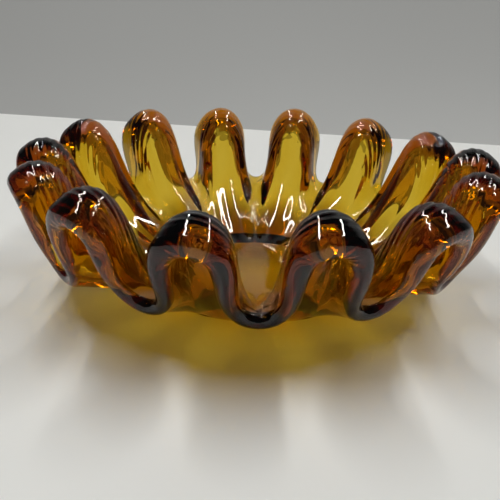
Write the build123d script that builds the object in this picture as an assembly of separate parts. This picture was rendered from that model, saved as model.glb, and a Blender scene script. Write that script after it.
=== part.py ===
from build123d import *
from math import cos, pi, radians, sin
import os

# Hand-crimped glass dish, one piece of glass. The foot is a flat disc on the plane z = 0, with its centre
# at the origin and +Z up. Around it the wall is crimped: tall ridges with low valleys between them, one
# valley pointing along -Y. Every ridge is a hood that is open outwards, and every valley is a channel that
# runs out from the bowl. All sizes are in millimetres.

# Driving dimensions
CRIMP_COUNT = 14  # ridges around the dish, with as many valleys between them
FOOT_RADIUS = 40.4  # flat foot, underneath
FLOOR_RADIUS = 25.6  # flat floor, inside
FLOOR_THICKNESS = 4.8  # glass between the foot and the floor
WALL_THICKNESS = 4.8  # glass of the crimped wall, which ends in a full round
RIDGE_REACH = 86.0  # axis to the middle of the wall at the tip of a ridge
RIDGE_HEIGHT = 50.0  # foot to the same point
VALLEY_REACH = 74.8  # axis to the middle of the wall at the lip of a valley
VALLEY_HEIGHT = 18.6  # foot to the same point

# Courses of the middle of the wall from its root, (0, 0), to its rim, (1, 1), as shares of the run
# outwards and of the rise. The curve is pulled towards each point and starts and ends on the outer two.
RIDGE_COURSE = (
    (0, 0),
    (0.21, 0.09),
    (0.42, 0.28),
    (0.58, 0.52),
    (0.70, 0.80),
    (0.79, 1.03),
    (0.92, 1.05),
    (1, 1),
)
VALLEY_COURSE = ((0, 0), (0.21, 0.09), (0.50, 0.51), (0.77, 0.80), (1, 1))

# Form of the crimps
UPRIGHTNESS = 0.45  # 0.5 makes the flanks of a ridge upright at the rim, 0 leaves a plain wave
UPRIGHT_SHARES = (0.4, 0.9)  # shares of the course between which the flanks turn upright
BULGE = 0.6  # 0 puts the flanks halfway out between valley and ridge, more puts them further out
ROOT_SHARE = 0.45  # share of the course over which the floor's thickness turns into the wall's

# Fineness of the net of curves that the skin is laid over
SPANS_PER_CRIMP = 10
ARCS_PER_SIDE = 12
EDGE_ANGLES = (-50, 0, 50)  # degrees, curves around the rounded edge

# Worked out from the sizes above
ROOT = Vector((FOOT_RADIUS + FLOOR_RADIUS) / 2, 0, FLOOR_THICKNESS / 2)
ROOT_HALF_RUN = (FOOT_RADIUS - FLOOR_RADIUS) / 2
HALF_WALL = WALL_THICKNESS / 2
STEP = 1e-4  # for tangents by differences
SEWING_SCALE = 0.01  # faces are sewn this small, so that the tiny gaps between two crimps' edges close


def along(course, share):
    """Point at a share of a course: a uniform cubic B-spline with its end points held three times."""
    held = [course[0]] * 2 + list(course) + [course[-1]] * 2
    spans = len(held) - 3
    span = min(int(share * spans), spans - 1)
    s = share * spans - span
    pulls = ((1 - s) ** 3, 3 * s**3 - 6 * s**2 + 4, -3 * s**3 + 3 * s**2 + 3 * s + 1, s**3)
    return [sum(pull * held[span + i][axis] for i, pull in enumerate(pulls)) / 6 for axis in (0, 1)]


def azimuth(share, phase):
    """Angle about the axis. The phase runs over a full turn for each crimp and is 0 in the front valley."""
    start, end = UPRIGHT_SHARES
    grown = min(max((share - start) / (end - start), 0), 1)
    upright = UPRIGHTNESS * grown**2 * (3 - 2 * grown)
    return (phase + upright * sin(2 * phase)) / CRIMP_COUNT - pi / 2


def middle(share, phase):
    """Point of the middle surface of the wall, at a share of its course and a phase of its crimps."""
    ridge_run, ridge_rise = along(RIDGE_COURSE, share)
    valley_run, valley_rise = along(VALLEY_COURSE, share)
    ridge = (1 - cos(phase)) / 2
    ridge_reach = ROOT.X + (RIDGE_REACH - ROOT.X) * ridge_run
    valley_reach = ROOT.X + (VALLEY_REACH - ROOT.X) * valley_run
    ridge_height = ROOT.Z + (RIDGE_HEIGHT - ROOT.Z) * ridge_rise
    valley_height = ROOT.Z + (VALLEY_HEIGHT - ROOT.Z) * valley_rise
    reach = valley_reach + (ridge_reach - valley_reach) * ridge * (1 + BULGE * (1 - ridge))
    height = valley_height + (ridge_height - valley_height) * ridge
    angle = azimuth(share, phase)
    return Vector(reach * cos(angle), reach * sin(angle), height)


def directions(share, phase):
    """Unit vectors out along the wall and square to it, the second on the inner side."""
    outwards = middle(min(share + STEP, 1), phase) - middle(max(share - STEP, 0), phase)
    sideways = middle(share, phase + STEP) - middle(share, phase - STEP)
    return outwards.normalized(), outwards.cross(sideways).normalized()


def half_glass(share, phase):
    """Step from the middle surface to the inner one. At the root it leads to the edge of the floor."""
    grown = min(share / ROOT_SHARE, 1)
    grown = grown**3 * (10 - 15 * grown + 6 * grown**2)
    angle = azimuth(share, phase)
    inwards = Vector(-cos(angle), -sin(angle), 0)
    at_root = inwards * ROOT_HALF_RUN + Vector(0, 0, ROOT.Z)
    return at_root * (1 - grown) + directions(share, phase)[1] * (HALF_WALL * grown)


def arc(place):
    """Smooth curve over one crimp, from valley to valley, through the points that place gives."""
    shares = [i / SPANS_PER_CRIMP for i in range(SPANS_PER_CRIMP + 1)]
    points = [place(2 * pi * share) for share in shares]
    ends = [(place(phase + STEP) - place(phase - STEP)) * (pi / STEP) for phase in (0, 2 * pi)]
    return Wire([Edge.make_spline(points, tangents=ends, parameters=shares, scale=False)])


def under_arc(share):
    return arc(lambda phase: middle(share, phase) - half_glass(share, phase))


def upper_arc(share):
    return arc(lambda phase: middle(share, phase) + half_glass(share, phase))


def edge_arc(degrees):
    def place(phase):
        outwards, inner = directions(1, phase)
        turn = radians(degrees)
        return middle(1, phase) + outwards * (HALF_WALL * cos(turn)) + inner * (HALF_WALL * sin(turn))

    return arc(place)


def around(shape):
    """Copies of a shape at every crimp."""
    return [shape.rotate(Axis.Z, 360 * crimp / CRIMP_COUNT) for crimp in range(CRIMP_COUNT)]


def disc(rim_arc):
    """Flat face inside the closed curve that the copies of an arc make."""
    return Face(Wire([copy.edge() for copy in around(rim_arc)]))


def glass_dish():
    """Skin of one crimp, from the foot around the rim to the floor, repeated and closed by two discs."""
    shares = [i / ARCS_PER_SIDE for i in range(ARCS_PER_SIDE + 1)]
    arcs = [under_arc(share) for share in shares]
    arcs += [edge_arc(degrees) for degrees in EDGE_ANGLES]
    arcs += [upper_arc(share) for share in reversed(shares)]
    crimp = Shell.make_loft(arcs).face()
    faces = [disc(arcs[0]), *around(crimp), disc(arcs[-1])]
    skin = Shell([face.scale(SEWING_SCALE) for face in faces]).scale(1 / SEWING_SCALE)
    return Solid(skin)


os.makedirs("parts", exist_ok=True)
export_step(glass_dish(), "parts/glass_dish.step")
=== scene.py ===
"""Hand-crimped amber glass candy dish, standing alone on a pale table under two strip lights.

The dish is one piece of thick glass. Its skin is worked out as one closed surface with numpy: the underside
from the foot to the rim, the rounded edge, and the inner side from the rim to the floor. The marks of the
making, which are chill rings under the tips, pulled streaks and slow waves, are part of that surface.
All lengths in the classes are millimetres, and a mesh is turned to metres when it is made.
"""

import logging
import math
from dataclasses import dataclass, field
from enum import Enum
from typing import Any

import bpy
import numpy as np
from mathutils import Matrix, Vector


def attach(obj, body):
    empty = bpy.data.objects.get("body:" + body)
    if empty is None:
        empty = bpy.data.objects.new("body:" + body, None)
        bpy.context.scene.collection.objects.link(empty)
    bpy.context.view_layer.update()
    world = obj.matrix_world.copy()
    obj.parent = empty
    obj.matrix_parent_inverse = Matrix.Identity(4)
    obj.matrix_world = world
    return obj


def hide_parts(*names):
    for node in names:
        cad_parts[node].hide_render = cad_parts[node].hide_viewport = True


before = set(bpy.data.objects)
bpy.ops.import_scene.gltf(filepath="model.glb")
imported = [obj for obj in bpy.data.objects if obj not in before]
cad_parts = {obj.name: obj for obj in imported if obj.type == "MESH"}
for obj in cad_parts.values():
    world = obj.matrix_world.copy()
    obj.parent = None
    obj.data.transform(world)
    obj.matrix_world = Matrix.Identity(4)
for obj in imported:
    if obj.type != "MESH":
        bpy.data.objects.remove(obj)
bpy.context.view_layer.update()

MILLIMETRE = 0.001
MILLIMETRES_PER_CENTIMETRE = 10
LOG = logging.getLogger("dish")


class Side(Enum):
    """Which skin of the glass a point lies on, as the sign of its step along the inner normal."""

    UNDER = -1
    INNER = 1


def linear(hex_colour: str) -> tuple[float, float, float, float]:
    """Linear RGBA of an sRGB colour.

    Args:
        hex_colour: six hex digits after a #.

    Returns:
        Red, green and blue by the sRGB curve, and 1 for alpha.
    """
    channels = [int(hex_colour[i : i + 2], 16) / 255 for i in (1, 3, 5)]
    red, green, blue = (c / 12.92 if c <= 0.04045 else ((c + 0.055) / 1.055) ** 2.4 for c in channels)
    return red, green, blue, 1.0


def add_node(
    tree: bpy.types.NodeTree,
    kind: str,
    settings: dict[str, Any],
    links: dict[str, Any],
) -> bpy.types.Node:
    """Adds a node with its settings and links.

    Args:
        tree: the node tree it goes into.
        kind: the node's type name.
        settings: property or input names with their values; a property goes before an input of that name.
        links: input names with the output sockets that feed them.

    Returns:
        The new node.
    """
    node = tree.nodes.new(kind)
    for name, value in settings.items():
        if hasattr(node, name):
            setattr(node, name, value)
        else:
            node.inputs[name].default_value = value
    for name, output in links.items():
        tree.links.new(output, node.inputs[name])
    return node


def smooth(values: np.ndarray, low: float, high: float) -> np.ndarray:
    """Smoothstep: 0 below low, 1 above high, and 3s^2 - 2s^3 between them."""
    share = np.clip((values - low) / (high - low), 0.0, 1.0)
    return share * share * (3.0 - 2.0 * share)


def band(values: np.ndarray, rise: tuple[float, float], fall: tuple[float, float]) -> np.ndarray:
    """Smooth band: 1 between the end of its rise and the start of its fall, and 0 outside both."""
    return smooth(values, *rise) * (1 - smooth(values, *fall))


@dataclass(frozen=True)
class AmberGlass:
    """Soda-lime glass coloured amber, pressed and crimped while soft, then fire-polished.

    The fire polish leaves it glossy and clear. The colour is in its body, so one wall is yellow gold, several
    are brown, and the light that runs along inside the thick rim comes out almost black.
    """

    name: str = "amber_glass_crimped_fire_polished"
    ior: float = 1.52
    roughness: float = 0.012
    surface_colour: str = "#FFFBF2"
    body_colour: str = "#F5E700"
    absorption_per_metre: float = 640.0
    grain_period: float = 1.5
    grain_length: float = 7.0
    grain_depth: float = 0.010

    def material(self) -> bpy.types.Material:
        """Clear shader with the colour in its volume, and a fine grain of chill wrinkles across the pull.

        Returns:
            The material.
        """
        made = bpy.data.materials.new(self.name)
        made.use_nodes = True
        tree = made.node_tree
        tree.nodes.clear()
        skin = add_node(tree, "ShaderNodeUVMap", {"uv_map": "skin"}, {})
        # The skin map is in centimetres, so the grain's sizes turn into repeats per centimetre.
        repeats = [MILLIMETRES_PER_CENTIMETRE / size for size in (self.grain_length, self.grain_period)]
        scale = (*repeats, 1.0)
        placed = add_node(tree, "ShaderNodeMapping", {"Scale": scale}, {"Vector": skin.outputs["UV"]})
        grain = add_node(
            tree,
            "ShaderNodeTexNoise",
            {"noise_dimensions": "2D", "Scale": 1.0, "Detail": 1.5, "Roughness": 0.45},
            {"Vector": placed.outputs["Vector"]},
        )
        bump = add_node(
            tree,
            "ShaderNodeBump",
            {"Strength": 1.0, "Distance": self.grain_depth * MILLIMETRE},
            {"Height": grain.outputs["Fac"]},
        )
        shader = add_node(
            tree,
            "ShaderNodeBsdfPrincipled",
            {
                "Base Color": linear(self.surface_colour),
                "Roughness": self.roughness,
                "IOR": self.ior,
                "Transmission Weight": 1.0,
            },
            {"Normal": bump.outputs["Normal"]},
        )
        body = add_node(
            tree,
            "ShaderNodeVolumeAbsorption",
            {"Color": linear(self.body_colour), "Density": self.absorption_per_metre},
            {},
        )
        add_node(
            tree,
            "ShaderNodeOutputMaterial",
            {},
            {"Surface": shader.outputs["BSDF"], "Volume": body.outputs["Volume"]},
        )
        return made


@dataclass(frozen=True)
class StudioPaint:
    """Even matt or satin coat of a studio surface, rolled on.

    The faint cloudy differences in tone keep a large plain surface from looking printed, and the roughness
    sets how softly it mirrors the glass: a satin table a little, a matt wall not at all.
    """

    # The mix node has one A, B and result for each kind of value, so those for colours go by their place.
    COLOUR_A = 6
    COLOUR_B = 7
    COLOUR_RESULT = 2

    name: str
    colour: str
    second_colour: str
    roughness: float
    cloud_size: float = 180.0

    def material(self) -> bpy.types.Material:
        """Mixes the two tones by a slow noise on the surface's own coordinates.

        Returns:
            The material.
        """
        made = bpy.data.materials.new(self.name)
        made.use_nodes = True
        tree = made.node_tree
        tree.nodes.clear()
        place = add_node(tree, "ShaderNodeTexCoord", {}, {})
        cloud = add_node(
            tree,
            "ShaderNodeTexNoise",
            {"Scale": 1.0 / (self.cloud_size * MILLIMETRE), "Detail": 2.0},
            {"Vector": place.outputs["Object"]},
        )
        tone = add_node(
            tree,
            "ShaderNodeMix",
            {"data_type": "RGBA"},
            {"Factor": cloud.outputs["Fac"]},
        )
        tone.inputs[self.COLOUR_A].default_value = linear(self.colour)
        tone.inputs[self.COLOUR_B].default_value = linear(self.second_colour)
        shader = add_node(
            tree,
            "ShaderNodeBsdfPrincipled",
            {"Roughness": self.roughness},
            {"Base Color": tone.outputs[self.COLOUR_RESULT]},
        )
        add_node(tree, "ShaderNodeOutputMaterial", {}, {"Surface": shader.outputs["BSDF"]})
        return made


@dataclass(frozen=True)
class Course:
    """Line of the middle of the wall from its root to its rim, as shares of its run and of its rise."""

    pulls: tuple[tuple[float, float], ...]

    def at(self, share: np.ndarray) -> tuple[np.ndarray, np.ndarray]:
        """Run and rise at shares of the course, by a uniform cubic B-spline with its end points held thrice.

        Args:
            share: shares of the course, 0 to 1.

        Returns:
            The run outwards and the rise, both as shares.
        """
        held = np.array([self.pulls[0]] * 2 + list(self.pulls) + [self.pulls[-1]] * 2)
        spans = len(held) - 3
        span = np.minimum((share * spans).astype(int), spans - 1)
        s = share * spans - span
        weights = ((1 - s) ** 3, 3 * s**3 - 6 * s**2 + 4, -3 * s**3 + 3 * s**2 + 3 * s + 1, s**3)
        found = sum(weight[..., None] * held[span + i] for i, weight in enumerate(weights)) / 6
        return found[..., 0], found[..., 1]


@dataclass(frozen=True)
class Marks:
    """Marks of the making on the wall's skin.

    Rises and falls are shares of the wall's course. Heights, periods, the rings' bow, and reaches, which are
    the lengths of a radian, are millimetres. Bends, sways, wanders, tremors' strength and shifts are radians.
    What runs around the dish is in whole waves per round, so that the skin closes on itself.
    """

    wave_rise: tuple[float, float] = (0.08, 0.3)
    wave_fall: tuple[float, float] = (0.66, 0.8)
    cross_wave_height: float = 0.07
    cross_wave_reach: float = 3.1
    cross_wave_bend: float = 1.7
    cross_wave_bends: int = 7
    cross_wave_start: float = 0.6
    long_wave_height: float = 0.06
    long_waves: int = 60
    long_wave_bend: float = 2.1
    long_wave_reach: float = 9.0
    long_wave_sway: float = 3
    long_wave_sways: int = 5

    ring_rise: tuple[float, float] = (0.55, 0.64)
    ring_fall: tuple[float, float] = (0.78, 0.86)
    # How near the crest of a ridge the rings begin and are whole, where 1 is the crest and 0 a valley.
    ring_crest: tuple[float, float] = (0.35, 0.8)
    ring_height: float = 0.15
    ring_period: float = 3.0
    ring_bow: float = 2.2
    ring_shift: float = 0.9

    streak_rise: tuple[float, float] = (0.45, 0.62)
    streak_fall: tuple[float, float] = (0.86, 0.97)
    streak_height: float = 0.18
    streaks: int = 112
    streak_wander: float = 1.1
    streak_reach: float = 5.2
    streak_sway: float = 4
    streak_sways: int = 3
    streak_tremor: float = 0.5
    tremor_reach: float = 2.1
    tremors: int = 5

    def waves(self, share: np.ndarray, along: np.ndarray, around: np.ndarray) -> np.ndarray:
        """Slow waves of soft glass: a sine along the wall and one around it, each bent by slower sines.

        Args:
            share: shares of the wall's course.
            along: distance along the wall, in millimetres.
            around: angle around the dish, in radians.

        Returns:
            Heights in millimetres.
        """
        bent = self.cross_wave_bend * np.sin(self.cross_wave_bends * around + self.cross_wave_start)
        across = self.cross_wave_height * np.sin(along / self.cross_wave_reach + bent)
        swayed = self.long_wave_sway * np.sin(self.long_wave_sways * around)
        bent = self.long_wave_bend * np.sin(along / self.long_wave_reach + swayed)
        lengthways = self.long_wave_height * np.sin(self.long_waves * around + bent)
        return band(share, self.wave_rise, self.wave_fall) * (across + lengthways)

    def rings(self, share: np.ndarray, along: np.ndarray, ridge: np.ndarray, crimp: np.ndarray) -> np.ndarray:
        """Rings left by the chill of the crimping tool across each ridge: a cosine of the distance along it.

        Args:
            share: shares of the wall's course.
            along: distance along the wall, in millimetres.
            ridge: 1 on the crest of a ridge, 0 in a valley.
            crimp: number of the crimp, which shifts its rings against its neighbours'.

        Returns:
            Heights in millimetres.
        """
        rings = band(share, self.ring_rise, self.ring_fall) * smooth(ridge, *self.ring_crest)
        bow = self.ring_bow * (1 - ridge)
        turn = 2 * math.pi * (along + bow) / self.ring_period
        return self.ring_height * rings * np.cos(turn + self.ring_shift * crimp)

    def pulled_streaks(self, share: np.ndarray, along: np.ndarray, around: np.ndarray) -> np.ndarray:
        """Streaks of the pull, lengthways: a sine of the angle around the dish that wanders along the wall.

        Args:
            share: shares of the wall's course.
            along: distance along the wall, in millimetres.
            around: angle around the dish, in radians.

        Returns:
            Heights in millimetres.
        """
        swayed = self.streak_sway * np.sin(self.streak_sways * around)
        wander = self.streak_wander * np.sin(along / self.streak_reach + swayed)
        wander = wander + self.streak_tremor * np.sin(along / self.tremor_reach + self.tremors * around)
        streaks = band(share, self.streak_rise, self.streak_fall)
        return self.streak_height * streaks * np.sin(self.streaks * around + wander)


@dataclass
class CrimpedDish:
    """The dish: a flat foot and floor, and a wall crimped into ridges and valleys."""

    name: str = "amber_glass_dish"
    crimps: int = 14
    foot_radius: float = 40.4
    floor_radius: float = 25.6
    floor_thickness: float = 4.8
    wall_thickness: float = 4.8
    ridge_reach: float = 86.0
    ridge_height: float = 50.0
    valley_reach: float = 74.8
    valley_height: float = 18.6
    ridge_course: Course = Course(
        (
            (0, 0),
            (0.21, 0.09),
            (0.42, 0.28),
            (0.58, 0.52),
            (0.70, 0.78),
            (0.79, 0.99),
            (0.92, 1.02),
            (1, 0.93),
        )
    )
    valley_course: Course = Course(((0, 0), (0.21, 0.09), (0.50, 0.51), (0.77, 0.80), (1, 1)))
    uprightness: float = 0.45
    upright_shares: tuple[float, float] = (0.4, 0.9)
    bulge: float = 0.6
    root_share: float = 0.45
    # Extra half thickness at the tips, where the fire polish gathers the glass into a bead.
    gathered: float = 1.8
    gather_shares: tuple[float, float] = (0.55, 0.95)
    columns_per_crimp: int = 40
    under_rows: int = 44
    edge_rows: int = 11
    # The inner side has closer rows from the rim down to the hood share, where the rings are.
    hood_rows: int = 60
    bowl_rows: int = 36
    hood_share: float = 0.55
    disc_rings: tuple[float, ...] = (0.985, 0.965, 0.94, 0.91, 0.87, 0.82, 0.74, 0.6, 0.4, 0.2)
    # The foot is a little hollow, so that it stands on its edge, and the floor sinks towards its middle.
    foot_hollow: float = 0.4
    floor_swell: float = -1.0
    hollow_share: float = 1.0
    course_length: float = 78.0
    # Width of one crimp on the skin map, in centimetres.
    crimp_map_width: float = 3.8
    # What the hand left: how far each ridge's tip stands higher than the mean, from the front right on.
    ridge_lifts: tuple[float, ...] = (0, -1.6, 0.8, 1.0, 0, 0, 0.8, 0, 1.0, 1.0, 0, 0, 0, -1.3)
    # How far each valley's lip is pulled out further than the mean, from the front one on.
    valley_pulls: tuple[float, ...] = (0, 0, 0, 0, 0, 0, 0, 0, 0, 0, 0, 0, 2.6, 0)
    marks: Marks = field(default_factory=Marks)
    glass: AmberGlass = field(default_factory=AmberGlass)

    def __post_init__(self) -> None:
        """Works out the root of the wall, halfway between the edges of the foot and of the floor."""
        self.root_reach = (self.foot_radius + self.floor_radius) / 2
        self.root_height = self.floor_thickness / 2
        self.root_half_run = (self.foot_radius - self.floor_radius) / 2
        self.half_wall = self.wall_thickness / 2

    def azimuth(self, share: np.ndarray, turn: np.ndarray) -> np.ndarray:
        """Angle about the axis of a turn of crimps, which grows by a full turn for each crimp.

        The flanks of the ridges stand up as the turn is pushed on by a second harmonic of itself.

        Args:
            share: shares of the wall's course.
            turn: turns in radians, 0 in the front valley.

        Returns:
            Angles in radians, the front valley at -pi/2.
        """
        upright = self.uprightness * smooth(share, *self.upright_shares)
        return (turn + upright * np.sin(2 * turn)) / self.crimps - math.pi / 2

    def hand(self, turn: np.ndarray) -> tuple[np.ndarray, np.ndarray]:
        """Hand-made differences between crimps at each turn.

        Args:
            turn: turns in radians.

        Returns:
            The lift of the tip and the pull of the lip in millimetres, each faded out by the next crimp.
        """
        crimp = np.floor(turn / (2 * math.pi)).astype(int) % self.crimps
        nearest = np.round(turn / (2 * math.pi)).astype(int) % self.crimps
        ridge = (1 - np.cos(turn)) / 2
        return np.array(self.ridge_lifts)[crimp] * ridge, np.array(self.valley_pulls)[nearest] * (1 - ridge)

    def middle(self, share: np.ndarray, turn: np.ndarray) -> np.ndarray:
        """Middle surface of the wall: the ridge's and the valley's course, mixed by a cosine of the turn.

        Args:
            share: shares of the wall's course.
            turn: turns in radians.

        Returns:
            Points, the last axis being x, y and z.
        """
        share, turn = np.broadcast_arrays(share, turn)
        ridge_run, ridge_rise = self.ridge_course.at(share)
        valley_run, valley_rise = self.valley_course.at(share)
        lift, pull = self.hand(turn)
        ridge = (1 - np.cos(turn)) / 2
        ridge_reach = self.root_reach + (self.ridge_reach - self.root_reach) * ridge_run
        valley_reach = self.root_reach + (self.valley_reach - self.root_reach + pull) * valley_run
        ridge_height = self.root_height + (self.ridge_height - self.root_height + lift) * ridge_rise
        valley_height = self.root_height + (self.valley_height - self.root_height) * valley_rise
        reach = valley_reach + (ridge_reach - valley_reach) * ridge * (1 + self.bulge * (1 - ridge))
        height = valley_height + (ridge_height - valley_height) * ridge
        angle = self.azimuth(share, turn)
        return np.stack([reach * np.cos(angle), reach * np.sin(angle), height], axis=-1)

    def directions(self, share: np.ndarray, turn: np.ndarray) -> tuple[np.ndarray, np.ndarray]:
        """Unit vectors out along the wall and square to it, by differences of the middle surface.

        Args:
            share: shares of the wall's course.
            turn: turns in radians.

        Returns:
            The direction outwards, and the normal on the inner side.
        """
        step = 1e-4
        further, nearer = np.minimum(share + step, 1), np.maximum(share - step, 0)
        outwards = self.middle(further, turn) - self.middle(nearer, turn)
        sideways = self.middle(share, turn + step) - self.middle(share, turn - step)
        inner = np.cross(outwards, sideways)
        return (
            outwards / np.linalg.norm(outwards, axis=-1, keepdims=True),
            inner / np.linalg.norm(inner, axis=-1, keepdims=True),
        )

    def half_glass(self, share: np.ndarray, turn: np.ndarray) -> np.ndarray:
        """Half of the wall's thickness, which grows smoothly towards the tips of the ridges.

        Args:
            share: shares of the wall's course.
            turn: turns in radians.

        Returns:
            Half the thickness in millimetres.
        """
        ridge = (1 - np.cos(turn)) / 2
        return self.half_wall + self.gathered * smooth(share, *self.gather_shares) * ridge

    def relief(self, side: Side, share: np.ndarray, turn: np.ndarray) -> np.ndarray:
        """Height of the marks over the plain skin: waves on both sides, rings inside and streaks outside.

        Args:
            side: which skin.
            share: shares of the wall's course.
            turn: turns in radians.

        Returns:
            Heights in millimetres, outwards from the glass.
        """
        along = share * self.course_length
        around = turn / self.crimps
        if side is Side.INNER:
            ridge = (1 - np.cos(turn)) / 2
            crimp = np.floor(turn / (2 * math.pi))
            raised = self.marks.rings(share, along, ridge, crimp)
        else:
            raised = self.marks.pulled_streaks(share, along, around)
        return self.marks.waves(share, along, around) + raised

    def skin(self, side: Side, share: np.ndarray, turn: np.ndarray) -> np.ndarray:
        """One skin of the wall: the middle surface stepped by half the glass, and its relief.

        Near the root the step turns from half the wall's thickness, along the normal, to the step that leads
        to the edge of the floor or of the foot, by a smootherstep of the share.

        Args:
            side: which skin.
            share: shares of the wall's course.
            turn: turns in radians.

        Returns:
            Points, the last axis being x, y and z.
        """
        grown = np.minimum(share / self.root_share, 1)[..., None]
        grown = grown**3 * (10 - 15 * grown + 6 * grown**2)
        angle = self.azimuth(share, turn)
        at_root = np.stack(
            [
                -self.root_half_run * np.cos(angle),
                -self.root_half_run * np.sin(angle),
                np.full_like(angle, self.root_height),
            ],
            axis=-1,
        )
        normal = self.directions(share, turn)[1]
        step = at_root * (1 - grown) + normal * (self.half_glass(share, turn)[..., None] * grown)
        raised = normal * self.relief(side, share, turn)[..., None]
        return self.middle(share, turn) + side.value * (step + raised)

    def edge(self, angle: np.ndarray, turn: np.ndarray) -> np.ndarray:
        """Rounded edge: a half circle of half the wall's thickness about the end of the middle surface.

        Args:
            angle: angles from straight out towards the inner side, in radians.
            turn: turns in radians.

        Returns:
            Points, the last axis being x, y and z.
        """
        rim = np.ones_like(turn)
        outwards, inner = self.directions(rim, turn)
        swing = outwards * np.cos(angle)[..., None] + inner * np.sin(angle)[..., None]
        return self.middle(rim, turn) + self.half_glass(rim, turn)[..., None] * swing

    def surface(self) -> tuple[np.ndarray, np.ndarray]:
        """Rows of points from the foot's edge around the rim to the floor's edge.

        Returns:
            The points as rows by columns by three, and the skin map in centimetres as rows by columns by two.
        """
        columns = self.crimps * self.columns_per_crimp
        turn = np.arange(columns)[None, :] * (2 * math.pi / self.columns_per_crimp)
        under = np.linspace(0, 1, self.under_rows)[:, None]
        hood = np.linspace(1, self.hood_share, self.hood_rows)[:, None]
        bowl = np.linspace(self.hood_share, 0, self.bowl_rows)[1:, None]
        inner = np.concatenate([hood, bowl])
        round_over = np.linspace(-math.pi / 2, math.pi / 2, self.edge_rows + 2)[1:-1, None]
        rows = [
            self.skin(Side.UNDER, *np.broadcast_arrays(under, turn)),
            self.edge(*np.broadcast_arrays(round_over, turn)),
            self.skin(Side.INNER, *np.broadcast_arrays(inner, turn)),
        ]
        points = np.concatenate(rows)
        steps = np.linalg.norm(np.diff(points[:, self.columns_per_crimp // 2], axis=0), axis=-1)
        down = np.concatenate([[0], np.cumsum(steps)]) / MILLIMETRES_PER_CENTIMETRE
        across = turn[0] / (2 * math.pi) * self.crimp_map_width
        return points, np.stack(np.broadcast_arrays(across[None, :], down[:, None]), axis=-1)

    def disc(self, ring: np.ndarray, hollow: float) -> np.ndarray:
        """Rings of a disc inside a closed row of points, which shrink evenly towards the axis.

        Each ring is raised by the hollow times the smoothstep of how far it is from the edge.

        Args:
            ring: the closed row of points at the disc's edge.
            hollow: how much higher the middle stands than the edge.

        Returns:
            Points as rings by columns by three.
        """
        shares = np.array(self.disc_rings)[:, None, None]
        raised = hollow * smooth(1 - shares, 0.0, self.hollow_share)
        flat = ring[None] * np.concatenate([shares, shares, np.ones_like(shares)], axis=-1)
        return flat + raised * np.array([0.0, 0.0, 1.0])

    def mesh(self) -> bpy.types.Mesh:
        """Joins the two discs and the skin into one closed mesh that faces outwards.

        Returns:
            The mesh in metres, smooth shaded, with the skin map on it.
        """
        skin, skin_map = self.surface()
        foot_rings = self.disc(skin[0], self.foot_hollow)[::-1]
        floor_rings = self.disc(skin[-1], self.floor_swell)
        points = np.concatenate([foot_rings, skin, floor_rings])
        rows, columns = points.shape[:2]
        rings = len(self.disc_rings)
        foot_map = np.repeat(skin_map[:1], rings, axis=0)
        floor_map = np.repeat(skin_map[-1:], rings, axis=0)
        flat_map = np.concatenate([foot_map, skin_map, floor_map])
        centres = np.array([[0, 0, points[0, 0, 2]], [0, 0, points[-1, 0, 2]]])
        vertices = np.concatenate([points.reshape(-1, 3), centres]) * MILLIMETRE
        row = np.arange(rows - 1)[:, None] * columns
        column = np.arange(columns)[None, :]
        following = (column + 1) % columns
        quads = np.stack(
            [row + column, row + following, row + columns + following, row + columns + column], axis=-1
        ).reshape(-1, 4)
        first, last = rows * columns, rows * columns + 1
        top = (rows - 1) * columns
        foot_fan = np.stack([following[0], column[0], np.full(columns, first)], axis=-1)
        floor_fan = np.stack([top + column[0], top + following[0], np.full(columns, last)], axis=-1)
        made = bpy.data.meshes.new(self.name)
        made.vertices.add(len(vertices))
        made.vertices.foreach_set("co", vertices.ravel())
        corners = np.concatenate([quads.ravel(), foot_fan.ravel(), floor_fan.ravel()])
        sizes = np.concatenate([np.full(len(quads), 4), np.full(2 * columns, 3)])
        made.loops.add(len(corners))
        made.loops.foreach_set("vertex_index", corners)
        made.polygons.add(len(sizes))
        starts = np.concatenate([[0], np.cumsum(sizes)[:-1]])
        made.polygons.foreach_set("loop_start", starts)
        made.update(calc_edges=True)
        spots = np.concatenate([flat_map.reshape(-1, 2), [[0, 0], [0, 0]]])[corners]
        # The last column's faces end at the first column again, where the map goes on past its full width.
        width = self.crimps * self.crimp_map_width
        early, late = 0.1 * width, 0.9 * width
        wraps = np.maximum.reduceat(spots[:, 0], starts) > late
        spots[:, 0] += np.where(np.repeat(wraps, sizes) & (spots[:, 0] < early), width, 0)
        layer = made.uv_layers.new(name="skin")
        layer.data.foreach_set("uv", spots.ravel())
        made.polygons.foreach_set("use_smooth", np.ones(len(sizes), dtype=bool))
        made.validate()
        return made

    def build(self) -> bpy.types.Object:
        """Makes the dish, dresses it, and puts it in the place of its CAD node.

        Returns:
            The dish.
        """
        dish = bpy.data.objects.new(self.name, self.mesh())
        bpy.context.scene.collection.objects.link(dish)
        dish.data.materials.append(self.glass.material())
        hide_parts("glass_dish")
        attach(dish, "root")
        return dish


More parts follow.
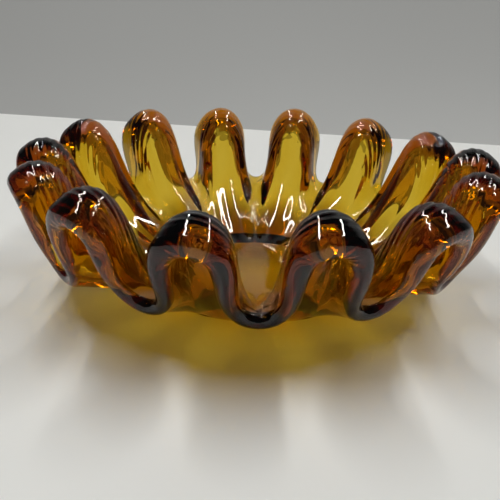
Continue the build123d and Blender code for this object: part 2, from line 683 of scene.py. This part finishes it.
@dataclass
class Stage:
    """The table and the wall behind it, which aren't part of the object."""

    table_size: tuple[float, float] = (2400.0, 1500.0)
    table_thickness: float = 30.0
    table_edge: float = 298.0
    turned: float = -9.3
    # The table lies a hair below the foot, so that the two faces don't coincide.
    stand_off: float = 0.05
    wall_distance: float = 900.0
    wall_thickness: float = 20.0
    wall_size: tuple[float, float] = (5000.0, 2400.0)
    wall_foot: float = -600.0
    table_paint: StudioPaint = StudioPaint("table_satin_lacquer_pale", "#E3E3E3", "#E9E9E8", 0.42)
    wall_paint: StudioPaint = StudioPaint("wall_matt_emulsion_grey", "#A9A9A9", "#B2B2B2", 0.9, 600.0)

    def slab(
        self,
        name: str,
        low: tuple[float, float, float],
        high: tuple[float, float, float],
    ) -> bpy.types.Object:
        """Box between two corners, turned about the upright axis, with its place in its mesh.

        Args:
            name: the object's name.
            low: lowest corner before the turn.
            high: highest corner before the turn.

        Returns:
            The box.
        """
        corners = np.array(np.meshgrid(*zip(low, high), indexing="ij")).reshape(3, -1).T * MILLIMETRE
        angle = math.radians(self.turned)
        turn = np.array(
            [[math.cos(angle), -math.sin(angle), 0], [math.sin(angle), math.cos(angle), 0], [0, 0, 1]]
        )
        faces = [(0, 1, 3, 2), (4, 6, 7, 5), (0, 4, 5, 1), (2, 3, 7, 6), (0, 2, 6, 4), (1, 5, 7, 3)]
        made = bpy.data.meshes.new(name)
        made.from_pydata((corners @ turn.T).tolist(), [], faces)
        box = bpy.data.objects.new(name, made)
        bpy.context.scene.collection.objects.link(box)
        return box

    def build(self) -> tuple[bpy.types.Object, bpy.types.Object]:
        """Makes the table top, whose upper face is the plane the dish stands on, and the wall.

        Returns:
            The table and the wall.
        """
        width, depth = self.table_size
        table = self.slab(
            "table",
            (-width / 2, self.table_edge - depth, -self.table_thickness),
            (width / 2, self.table_edge, -self.stand_off),
        )
        table.data.materials.append(self.table_paint.material())
        width, height = self.wall_size
        wall = self.slab(
            "wall",
            (-width / 2, self.wall_distance, self.wall_foot),
            (width / 2, self.wall_distance + self.wall_thickness, self.wall_foot + height),
        )
        wall.data.materials.append(self.wall_paint.material())
        return table, wall


@dataclass(frozen=True)
class SoftLight:
    """An even flat light: a strip under the ceiling, or a wash on the wall."""

    name: str
    place: tuple[float, float, float]
    size: tuple[float, float]
    radiance: float
    tilt: float = 0.0
    colour: str = "#FDFDF8"

    def build(self) -> bpy.types.Object:
        """Hangs the light facing down, tilted about the X axis.

        Returns:
            The light.
        """
        lamp = bpy.data.lights.new(self.name, "AREA")
        lamp.shape = "RECTANGLE"
        lamp.size = self.size[0] * MILLIMETRE
        lamp.size_y = self.size[1] * MILLIMETRE
        # The power of an even flat light is pi times its radiance times its area.
        lamp.energy = math.pi * self.radiance * lamp.size * lamp.size_y
        lamp.color = linear(self.colour)[:3]
        hung = bpy.data.objects.new(self.name, lamp)
        hung.location = Vector(self.place) * MILLIMETRE
        hung.rotation_euler = (math.radians(self.tilt), 0.0, 0.0)
        bpy.context.scene.collection.objects.link(hung)
        return hung


LIGHTS = (
    SoftLight("strip_left", (-440.0, 200.0, 1250.0), (70.0, 1400.0), 36.0),
    SoftLight("strip_right", (690.0, 200.0, 1250.0), (70.0, 1400.0), 36.0),
    SoftLight("wall_wash", (0.0, 480.0, -300.0), (3000.0, 200.0), 3.0, 105.0),
)


@dataclass(frozen=True)
class StudioRoom:
    """The light of the room itself: an even soft light from all around."""

    colour: str = "#C9CBD0"
    strength: float = 0.06

    def build(self) -> bpy.types.World:
        """Makes the world.

        Returns:
            The world, set on the scene.
        """
        room = bpy.data.worlds.new("room")
        room.use_nodes = True
        tree = room.node_tree
        tree.nodes.clear()
        light = add_node(
            tree,
            "ShaderNodeBackground",
            {"Color": linear(self.colour), "Strength": self.strength},
            {},
        )
        add_node(tree, "ShaderNodeOutputWorld", {}, {"Surface": light.outputs["Background"]})
        bpy.context.scene.world = room
        return room


@dataclass(frozen=True)
class StudioCamera:
    """The camera in front of the dish and a little above it."""

    azimuth: float = -91.03
    distance: float = 245.3
    height: float = 107.0
    aim: tuple[float, float, float] = (-2.3, 0.0, 11.2)
    roll: float = 1.91
    lens: float = 47.84
    sensor: float = 36.0
    nearest: float = 10.0

    def build(self) -> bpy.types.Object:
        """Places the camera and makes it the scene's.

        Returns:
            The camera.
        """
        angle = math.radians(self.azimuth)
        place = Vector((self.distance * math.cos(angle), self.distance * math.sin(angle), self.height))
        forwards = (Vector(self.aim) - place).normalized()
        turned = forwards.to_track_quat("-Z", "Y").to_matrix().to_4x4()
        rolled = Matrix.Rotation(math.radians(self.roll), 4, "Z")
        seen = bpy.data.cameras.new("camera")
        seen.lens = self.lens
        seen.sensor_width = self.sensor
        seen.clip_start = self.nearest * MILLIMETRE
        camera = bpy.data.objects.new("camera", seen)
        camera.matrix_world = Matrix.Translation(place * MILLIMETRE) @ turned @ rolled
        bpy.context.scene.collection.objects.link(camera)
        bpy.context.scene.camera = camera
        return camera


def set_looks() -> None:
    """Lets light pass all the walls of the glass, and keeps the tones as the eye sees them.

    Light that is gathered by the glass onto the table is left at its full strength.
    """
    scene = bpy.context.scene
    scene.cycles.max_bounces = 24
    scene.cycles.transmission_bounces = 24
    scene.cycles.glossy_bounces = 8
    scene.cycles.diffuse_bounces = 3
    scene.cycles.sample_clamp_indirect = 0.0
    scene.view_settings.view_transform = "Standard"


def main() -> None:
    """Builds the camera, the lights, the stage and the dish."""
    logging.basicConfig(level=logging.INFO, format="%(name)s: %(message)s")
    set_looks()
    StudioCamera().build()
    StudioRoom().build()
    for light in LIGHTS:
        light.build()
    Stage().build()
    dish = CrimpedDish().build()
    size = [round(side, 4) for side in dish.dimensions]
    LOG.info("%s: %d faces, size %s m", dish.name, len(dish.data.polygons), size)


if __name__ == "__main__":
    main()
